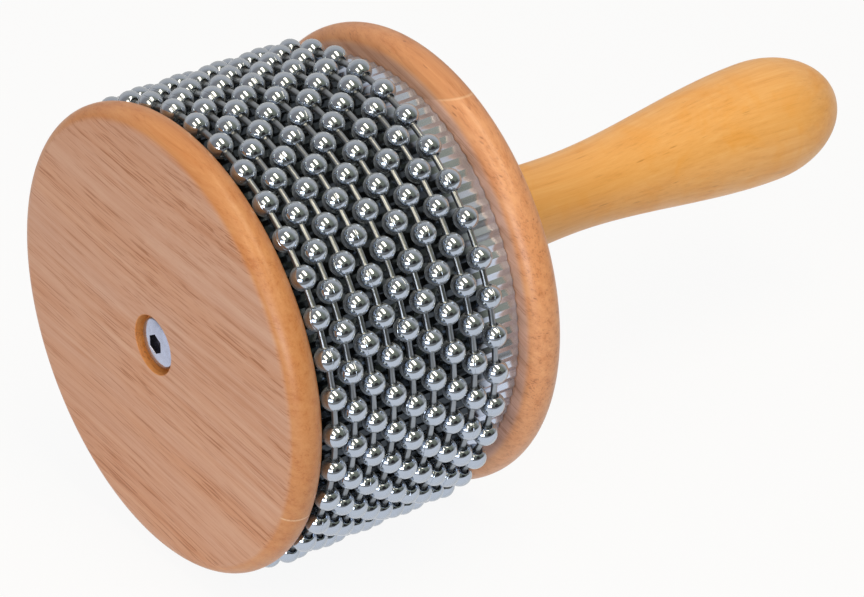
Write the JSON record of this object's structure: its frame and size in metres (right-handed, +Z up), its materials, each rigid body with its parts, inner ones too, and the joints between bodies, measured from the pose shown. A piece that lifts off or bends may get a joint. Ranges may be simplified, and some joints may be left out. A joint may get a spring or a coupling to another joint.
{
  "type": "cabasa",
  "caption": "Hand percussion instrument: loops of steel ball chain turn round a corrugated steel drum between two wooden discs on a turned wooden handle.",
  "frame": {"origin": "middle of the base of the bounding box, with the instrument lying on its side", "axes": "+X along the drum's axis from the front disc to the end of the handle, +Z up"},
  "size_m": [0.211, 0.116, 0.116],
  "materials": {
    "disc_wood": "semi-gloss lacquer",
    "core_wood": "bare",
    "handle_wood": "satin lacquer",
    "sheet_steel": "bright sheet",
    "brad_steel": "plain",
    "bead_chrome": "polished plating",
    "pin_steel": "polished plating",
    "bolt_steel": "zinc plated",
    "insert_steel": "plain"
  },
  "bodies": {
    "drum": {"front_disc": "disc_wood", "rear_disc": "disc_wood", "core": "core_wood", "corrugated_sleeve": "sheet_steel", "sleeve_brads": "brad_steel", "handle": "handle_wood", "through_bolt": "bolt_steel", "handle_insert": "insert_steel"},
    "loop_1": {"loop_1_beads": "bead_chrome", "loop_1_pins": "pin_steel"},
    "loop_2": {"loop_2_beads": "bead_chrome", "loop_2_pins": "pin_steel"},
    "loop_3": {"loop_3_beads": "bead_chrome", "loop_3_pins": "pin_steel"},
    "loop_4": {"loop_4_beads": "bead_chrome", "loop_4_pins": "pin_steel"},
    "loop_5": {"loop_5_beads": "bead_chrome", "loop_5_pins": "pin_steel"},
    "loop_6": {"loop_6_beads": "bead_chrome", "loop_6_pins": "pin_steel"},
    "loop_7": {"loop_7_beads": "bead_chrome", "loop_7_pins": "pin_steel"},
    "loop_8": {"loop_8_beads": "bead_chrome", "loop_8_pins": "pin_steel"},
    "loop_9": {"loop_9_beads": "bead_chrome", "loop_9_pins": "pin_steel"}
  },
  "joints": [
    {"name": "loop_1_turn", "type": "hinge", "parent": "drum", "child": "loop_1", "pos_m": [0, 0, 0.05799], "axis": [1, 0, 0], "continuous": true},
    {"name": "loop_2_turn", "type": "hinge", "parent": "drum", "child": "loop_2", "pos_m": [0, 0, 0.05799], "axis": [1, 0, 0], "continuous": true},
    {"name": "loop_3_turn", "type": "hinge", "parent": "drum", "child": "loop_3", "pos_m": [0, 0, 0.05799], "axis": [1, 0, 0], "continuous": true},
    {"name": "loop_4_turn", "type": "hinge", "parent": "drum", "child": "loop_4", "pos_m": [0, 0, 0.05799], "axis": [1, 0, 0], "continuous": true},
    {"name": "loop_5_turn", "type": "hinge", "parent": "drum", "child": "loop_5", "pos_m": [0, 0, 0.05799], "axis": [1, 0, 0], "continuous": true},
    {"name": "loop_6_turn", "type": "hinge", "parent": "drum", "child": "loop_6", "pos_m": [0, 0, 0.05799], "axis": [1, 0, 0], "continuous": true},
    {"name": "loop_7_turn", "type": "hinge", "parent": "drum", "child": "loop_7", "pos_m": [0, 0, 0.05799], "axis": [1, 0, 0], "continuous": true},
    {"name": "loop_8_turn", "type": "hinge", "parent": "drum", "child": "loop_8", "pos_m": [0, 0, 0.05799], "axis": [1, 0, 0], "continuous": true},
    {"name": "loop_9_turn", "type": "hinge", "parent": "drum", "child": "loop_9", "pos_m": [0, 0, 0.05799], "axis": [1, 0, 0], "continuous": true}
  ],
  "couplings": [
    {"joint": "loop_2_turn", "follows": "loop_1_turn", "ratio": 1},
    {"joint": "loop_3_turn", "follows": "loop_1_turn", "ratio": 1},
    {"joint": "loop_4_turn", "follows": "loop_1_turn", "ratio": 1},
    {"joint": "loop_5_turn", "follows": "loop_1_turn", "ratio": 1},
    {"joint": "loop_6_turn", "follows": "loop_1_turn", "ratio": 1},
    {"joint": "loop_7_turn", "follows": "loop_1_turn", "ratio": 1},
    {"joint": "loop_8_turn", "follows": "loop_1_turn", "ratio": 1},
    {"joint": "loop_9_turn", "follows": "loop_1_turn", "ratio": 1}
  ]
}
